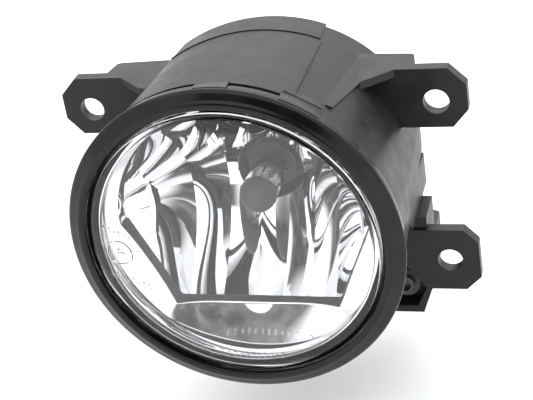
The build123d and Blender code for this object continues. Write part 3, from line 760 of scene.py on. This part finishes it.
# The ledge's rear edge, the step forwards from there, and the surround's outer edge
EDGE_Y = 16.6
STEP_DEPTH = 3.0
SURROUND_R = 43.0


def bowl_y(x, z):
    """Give the plain paraboloid's y, just in front of the reflector's moulding."""
    return VERTEX_Y - MIRROR_GAP - (x * x + z * z) / FOUR_FOCAL_LENGTHS


def flute_swell(x):
    """Give how far an upright flute swells at an x: 0 on its edges and 1 along its middle."""
    across = (x / FLUTE_WIDTH + 0.5) % 1.0
    return 1.0 - (2.0 * across - 1.0) ** 2


def fluted_y(x, z):
    """Give the main mirror's y: the paraboloid with upright flutes pressed forwards."""
    return bowl_y(x, z) - FLUTE_DEPTH * flute_swell(x)


def mirror_columns():
    """Give the x of each upright line of points: on flute edges, and closer at the ends of both circles."""
    per_flute = 14
    nearest = 0.12
    hole_step = 9
    end_angles = (3, 5, 8, 11, 14, 17, 20, 23)
    flutes = math.ceil(SHOULDER_X / FLUTE_WIDTH)
    fixed = [FLUTE_WIDTH * (i + 0.5) * side for i in range(flutes) for side in (-1, 1)]
    fixed += [SHOULDER_X, -SHOULDER_X, HOLE_R, -HOLE_R]
    steps = range(-flutes * per_flute, (flutes + 1) * per_flute)
    loose = [FLUTE_WIDTH * (i / per_flute - 0.5) for i in steps]
    loose += [HOLE_R * math.cos(math.radians(angle)) for angle in range(hole_step, 180, hole_step)]
    loose += [MAIN_R * side * math.cos(math.radians(angle)) for angle in end_angles for side in (1, -1)]
    columns = [x for x in fixed if abs(x) <= SHOULDER_X]
    for x in loose:
        if abs(x) < SHOULDER_X and all(abs(x - other) > nearest for other in columns):
            columns.append(x)
    return sorted(columns)


def ledge_z(x):
    """Give the z of the surround's inner edge at an x: the level ledge, or the chord beside it."""
    along_chord = (SHOULDER_X - abs(x)) / (SHOULDER_X - CORNER_X)
    return max(LEDGE_Z, SHOULDER_Z + (LEDGE_Z - SHOULDER_Z) * along_chord)


def column_heights(x, rows):
    """Give the z of each point on one upright line: up to the bulb hole, then from its top to the edge.

    Beside the hole both stretches meet halfway up."""
    top = math.sqrt(max(MAIN_R ** 2 - x * x, SHOULDER_Z ** 2))
    bottom = -math.sqrt(max(BEHIND_LEDGE_R ** 2 - x * x, SHOULDER_Z ** 2))
    hole = math.sqrt(max(HOLE_R ** 2 - x * x, 0.0))
    below = -hole if hole > 0 else (bottom + top) / 2
    above = hole if hole > 0 else below
    heights = [bottom + (below - bottom) * i / rows for i in range(rows + 1)]
    heights += [above + (top - above) * i / rows for i in range(rows + 1)]
    return heights


def main_mirror_parts():
    """Make the main mirror as upright lines of points: below the bulb hole, then above it.

    It also gives the surround's inner edge: the ledge, the chords beside it, and the main mirror's
    own edge above them."""
    rows = 64
    height = 2 * (rows + 1)
    columns = mirror_columns()
    points = []
    top_edge = []
    for x in columns:
        points += [(x, fluted_y(x, z), z) for z in column_heights(x, rows)]
        top_edge.append(points[-1])
    faces = []
    for column in range(len(columns) - 1):
        for row in range(height - 1):
            if row == rows:
                continue
            first = column * height + row
            faces.append((first, first + 1, first + height + 1, first + height))
    edge = [(x, EDGE_Y, ledge_z(x)) for x in columns]
    edge += top_edge[-2:0:-1]
    return points, faces, edge


def surround_points(edge, step_rows, surround_rows):
    """Give the points of the step that runs forwards from the mirror's edge, and of the surround beyond it.

    There is one line of points for each point of the edge. The surround starts further forward
    the further it is from the lens axis."""
    step_spread = 0.35
    hollow = 0.012
    extra_depth = 2.0
    level_r = 31.0
    rim_y = bowl_y(SURROUND_R, 0.0)
    points = []
    for x, y, z in edge:
        radius = math.hypot(x, z)
        inner_r = radius + step_spread
        past_level = max(inner_r - level_r, 0.0) / (MAIN_R - level_r)
        inner_y = EDGE_Y - STEP_DEPTH - extra_depth * past_level ** 2
        for i in range(step_rows):
            t = i / step_rows
            grow = 1.0 + step_spread * t / radius
            points.append((x * grow, y + (inner_y - y) * t, z * grow))
        for i in range(surround_rows + 1):
            t = i / surround_rows
            r = inner_r + (SURROUND_R - inner_r) * t
            sag = hollow * (SURROUND_R - inner_r) * 4 * t * (1 - t)
            points.append((x / radius * r, inner_y + (rim_y - inner_y) * t + sag, z / radius * r))
    return points


def surround_parts(edge):
    """Make the step and the surround out to the rim, and sort their faces into bright mirror ones and ones
    painted dark as shade.

    Below the shoulders the step gets the dark moulding finish as painted shade for the step's shadow, and
    all the rest is bright."""
    step_rows = 4
    surround_rows = 18
    height = step_rows + surround_rows + 1
    count = len(edge)
    bright = []
    painted_shade_faces = []
    for i in range(count):
        following = (i + 1) % count
        below_shoulders = max(edge[i][2], edge[following][2]) < SHOULDER_Z
        for row in range(height - 1):
            first = i * height + row
            beside = following * height + row
            # Step faces below the shoulders are painted shade: they take the dark moulding finish where the
            # step casts its shadow
            faces = painted_shade_faces if below_shoulders and row < step_rows else bright
            faces.append((first, first + 1, beside + 1, beside))
    return surround_points(edge, step_rows, surround_rows), bright, painted_shade_faces


def make_mirror(materials):
    """Make the reflector's bright inside as a thin skin in front of its moulding, and the step below the
    shoulders, painted dark as shade.
    """
    points, faces, edge = main_mirror_parts()
    outer_points, bright, painted_shade_faces = surround_parts(edge)
    mirror = mesh_of("reflector_mirror", *merged((points, faces), (outer_points, bright)))
    # The step below the shoulders is painted shade: the dark moulding finish stands in for the step's
    # shadow
    step = mesh_of("reflector_step_painted_shade", outer_points, painted_shade_faces)
    for mesh, slot in ((mirror, "aluminised"), (step, "bare_moulding")):
        drop_loose_points(mesh)
        face_forwards(mesh)
        piece = make_piece(mesh, "reflector", slot, materials, sharp_angle=MIRROR_SHARP_ANGLE)
        skin = piece.modifiers.new("skin", "SOLIDIFY")
        skin.thickness = MIRROR_SKIN * MM
        skin.offset = -1.0


def drop_loose_points(mesh):
    """Remove the points that no face uses."""
    work = bmesh.new()
    work.from_mesh(mesh)
    loose = [point for point in work.verts if not point.link_faces]
    bmesh.ops.delete(work, geom=loose, context="VERTS")
    work.to_mesh(mesh)
    work.free()


def face_forwards(mesh):
    """Turn an open mesh's faces towards the front of the lamp."""
    forwards = sum(face.normal.y * face.area for face in mesh.polygons)
    if forwards > 0:
        mesh.flip_normals()


# ---------------------------------------------------------------- bulb

GLASS_R = 5.8
GLASS_WALL = 0.8
GLASS_CENTRE_Y = 31.3
GLASS_SHOULDER_Y = 43.5
GLASS_END_Y = 47.6
PINCH_END_Y = 55.0
FOCUS_Y = 42.5


def arc(centre_y, radius, start, end, steps):
    """Give (radius, y) points on a circle about the axis; 0 degrees is the tip in front."""
    angles = [math.radians(start + (end - start) * i / steps) for i in range(steps + 1)]
    return [(radius * math.sin(a), centre_y - radius * math.cos(a)) for a in angles]


def make_bulb_glass(materials):
    """Make the capsule with its thin wall and the flat pinch behind it."""
    inner_r = GLASS_R - GLASS_WALL
    straight_y = GLASS_SHOULDER_Y - 5.0
    outside = [(GLASS_R, straight_y), (GLASS_R, GLASS_SHOULDER_Y), (5.4, 45.0), (4.6, 46.4)]
    end = [(3.4, GLASS_END_Y), (2.7, GLASS_END_Y)]
    inside = [(3.6, 46.2), (4.5, 44.6), (inner_r, GLASS_SHOULDER_Y - 0.6), (inner_r, straight_y)]
    capsule = arc(GLASS_CENTRE_Y, GLASS_R, 0, 90, 14) + outside + end
    capsule += inside + arc(GLASS_CENTRE_Y, inner_r, 90, 0, 14)
    mesh = mesh_of("bulb_capsule", *merged(lathe_parts(capsule, 64), pinch_part()))
    make_piece(mesh, "bulb", "bulb_glass", materials, sharp_angle=50.0, replaces=["bulb_glass"])


def pinch_part():
    """Make the flat pinch, which flares from the capsule's end into a thick blade."""
    sides = 32
    sections = (
        # y, half width, half thickness
        (GLASS_END_Y + 0.05, 2.6, 2.4),
        (48.6, 3.9, 1.9),
        (49.6, 4.8, 1.6),
        (51.0, 5.0, 1.5),
        (PINCH_END_Y, 5.0, 1.5),
    )
    squareness = 3.0
    points = []
    for y, half_width, half_thickness in sections:
        for side in range(sides):
            angle = 2 * math.pi * side / sides
            c = math.cos(angle)
            s = math.sin(angle)
            reach = (abs(c) ** squareness + abs(s) ** squareness) ** (-1 / squareness)
            points.append((c * reach * half_width, y, s * reach * half_thickness))
    rows = len(sections)
    return points, band_faces(rows, sides) + end_faces(rows, sides)


def make_tip_cap(materials):
    """Make the opaque coating over the capsule's tip."""
    inner_r = GLASS_R + 0.03
    outer_r = GLASS_R + 0.16
    skirt_y = GLASS_CENTRE_Y + 0.9
    cap = arc(GLASS_CENTRE_Y, outer_r, 0, 90, 16) + [(outer_r, skirt_y)]
    cap += [(inner_r, skirt_y)] + arc(GLASS_CENTRE_Y, inner_r, 90, 0, 16)
    mesh = mesh_of("tip_coating", *lathe_parts(cap, 72))
    make_piece(mesh, "bulb", "tip_coating", materials, sharp_angle=50.0, replaces=["bulb_tip_cap"])


FILAMENT_R = 0.62
FILAMENT_HALF_LENGTH = 2.2


def make_filament(materials):
    """Wind the filament's coil about the lens axis."""
    turns = 11
    steps_per_turn = 14
    steps = turns * steps_per_turn
    wire_r = 0.12
    path = []
    for i in range(steps + 1):
        t = i / steps
        angle = 2 * math.pi * turns * t
        y = FOCUS_Y - FILAMENT_HALF_LENGTH + 2 * FILAMENT_HALF_LENGTH * t
        path.append((FILAMENT_R * math.cos(angle), y, FILAMENT_R * math.sin(angle)))
    mesh = mesh_of("filament_coil", *tube_parts(path, wire_r, sides=6))
    make_piece(mesh, "bulb", "tungsten", materials, sharp_angle=60.0, replaces=["bulb_filament"])


def make_lead_wires(materials):
    """Bend the two lead wires, from the ends of the coil back into the pinch."""
    lead_r = 0.3
    pinch_y = 49.5
    front_y = FOCUS_Y - FILAMENT_HALF_LENGTH
    rear_y = FOCUS_Y + FILAMENT_HALF_LENGTH
    long_lead = rounded_path([
        (FILAMENT_R, front_y, 0), (2.8, front_y - 0.1, 0), (2.8, 46.5, 0), (2.2, pinch_y, 0),
    ], radius=0.7)
    short_lead = rounded_path([
        (FILAMENT_R, rear_y, 0), (-0.4, rear_y + 0.1, 0), (-2.2, rear_y + 0.1, 0), (-2.2, pinch_y, 0),
    ], radius=0.6)
    wires = merged(tube_parts(long_lead, lead_r), tube_parts(short_lead, lead_r))
    mesh = mesh_of("lead_wires", *wires)
    make_piece(mesh, "bulb", "tungsten", materials, sharp_angle=60.0, replaces=["filament_leads"])


def rounded_path(corners, radius, steps=5):
    """Round a route's inner corners."""
    path = [Vector(corners[0])]
    for i in range(1, len(corners) - 1):
        here = Vector(corners[i])
        before = Vector(corners[i - 1]) - here
        after = Vector(corners[i + 1]) - here
        start = here + before.normalized() * min(radius, before.length * LARGEST_SHARE)
        end = here + after.normalized() * min(radius, after.length * LARGEST_SHARE)
        path += bend(start, here, end, steps)
    path.append(Vector(corners[-1]))
    return path


# ---------------------------------------------------------------- boot

def make_boot(materials):
    """Make the folded rubber boot from the rear opening to the reflector's neck."""
    outside = [(22.0, 57.2), (22.0, 60.2), (21.0, 60.8), (20.6, 62.6), (19.6, 63.6), (18.6, 62.2)]
    neck = [(17.9, 62.0), (17.1, 64.2), (17.1, 66.0), (15.08, 66.1), (15.08, 64.3)]
    inside = [(16.4, 63.2), (17.0, 61.2), (18.2, 60.7), (19.4, 61.6), (19.9, 60.6), (19.8, 57.2)]
    outline = rounded(outside + neck + inside, radius=0.6, steps=4)
    mesh = mesh_of("rubber_boot", *lathe_parts(outline, 120))
    boot = make_piece(mesh, None, "rubber", materials, sharp_angle=60.0, replaces=["bulb_boot"])
    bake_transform(boot)


# ---------------------------------------------------------------- CAD pieces that stay

CAD_FINISHES = {
    "housing": "black_plastic",
    "lens_seal": "sealant",
    "reflector": "bare_moulding",
    "pivot_pins": "steel",
    "pivot_bushes": "nylon",
    "adjuster_screw": "dark_nylon",
    "adjuster_seal": "rubber",
    "adjuster_clip": "spring_steel",
    "adjuster_nut": "nylon",
    "bulb_collar": "spring_steel",
    "bulb_base": "bulb_plastic",
    "bulb_terminals": "tinned_brass",
    "bulb_seal": "rubber",
    "vent_cap": "rubber",
    "vent_membrane": "membrane",
}


def finish_cad_nodes(materials):
    """Give each CAD piece that stays its finish."""
    for node, slot in CAD_FINISHES.items():
        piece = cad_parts[node]
        piece.data.materials.clear()
        piece.data.materials.append(materials[slot])


def main():
    """Set the stage, then finish the CAD pieces and add the detailed ones."""
    make_camera()
    make_studio()
    make_floor()
    materials = make_materials()
    finish_cad_nodes(materials)
    make_front_ring(materials)
    make_flange_trim(materials)
    make_lens(materials)
    make_lens_marks(materials)
    make_mirror(materials)
    make_bulb_glass(materials)
    make_tip_cap(materials)
    make_filament(materials)
    make_lead_wires(materials)
    make_boot(materials)


main()
